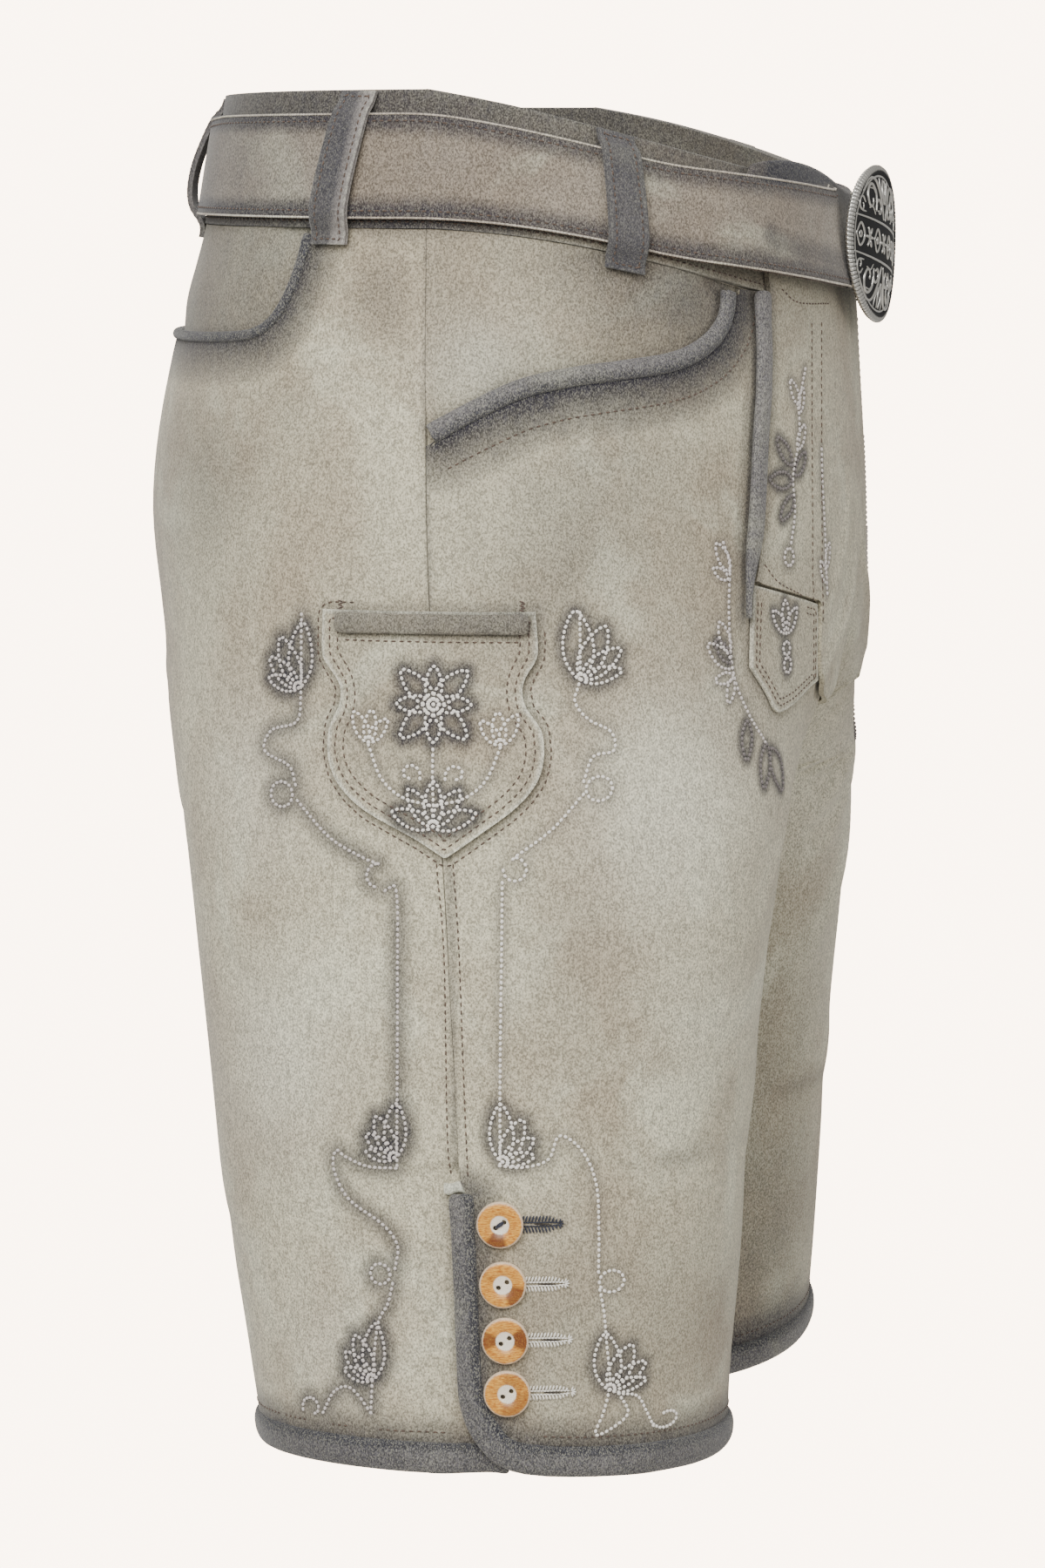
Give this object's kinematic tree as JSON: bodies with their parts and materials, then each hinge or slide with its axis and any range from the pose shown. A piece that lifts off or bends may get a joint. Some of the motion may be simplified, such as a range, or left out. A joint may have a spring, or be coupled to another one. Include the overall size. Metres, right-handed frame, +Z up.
{
  "type": "lederhosen",
  "caption": "Short grey suede leather breeches with drop-front flap, dark rolled edges, knife pocket, horn-buttoned leg slits and a belt with an oval ornamental buckle.",
  "frame": {"origin": "middle of the waist opening at the height of the waistband's upper edge at the side seams; the wearer holds the garment up there", "axes": "+Z up along the standing wearer, +X to the wearer's front, +Y to the wearer's left"},
  "size_m": [0.2986, 0.4056, 0.5406],
  "materials": {
    "suede": "soft matt nap, grey-green beige with smoky shading",
    "suede_dark": "matt dark blue-grey rubbed edges",
    "belt": "matt nap with rubbed darker edges",
    "horn": "polished natural stag horn, caramel with a cream core",
    "pewter": "antiqued dark pewter, relief rubbed bright"
  },
  "bodies": {
    "root": {"back_panel_L": "suede", "back_panel_R": "suede", "back_pocket_facing_L": "suede", "back_pocket_facing_R": "suede", "back_pocket_piping_L": "suede_dark", "back_pocket_piping_R": "suede_dark", "back_seam_welt": "suede_dark", "belt_loop_back_L": "suede_dark", "belt_loop_back_R": "suede_dark", "belt_loop_front_L": "suede_dark", "belt_loop_front_R": "suede_dark", "belt_loop_side_L": "suede_dark", "belt_loop_side_R": "suede_dark", "belt_strap": "belt", "buckle_plate": "pewter", "button_L1": "horn", "button_L2": "horn", "button_L3": "horn", "button_L4": "horn", "button_R1": "horn", "button_R2": "horn", "button_R3": "horn", "button_R4": "horn", "flap": "suede", "flap_binding_L": "suede_dark", "flap_binding_R": "suede_dark", "flap_corner_L": "suede", "flap_corner_R": "suede", "front_panel_L": "suede", "front_panel_R": "suede", "front_pocket_facing_L": "suede", "front_pocket_facing_R": "suede", "front_pocket_piping_L": "suede_dark", "front_pocket_piping_R": "suede_dark", "knife_pocket": "suede", "knife_pocket_band": "suede_dark", "leg_binding_back_L": "suede_dark", "leg_binding_back_R": "suede_dark", "leg_binding_front_L": "suede_dark", "leg_binding_front_R": "suede_dark", "waistband": "suede"}
  },
  "joints": []
}
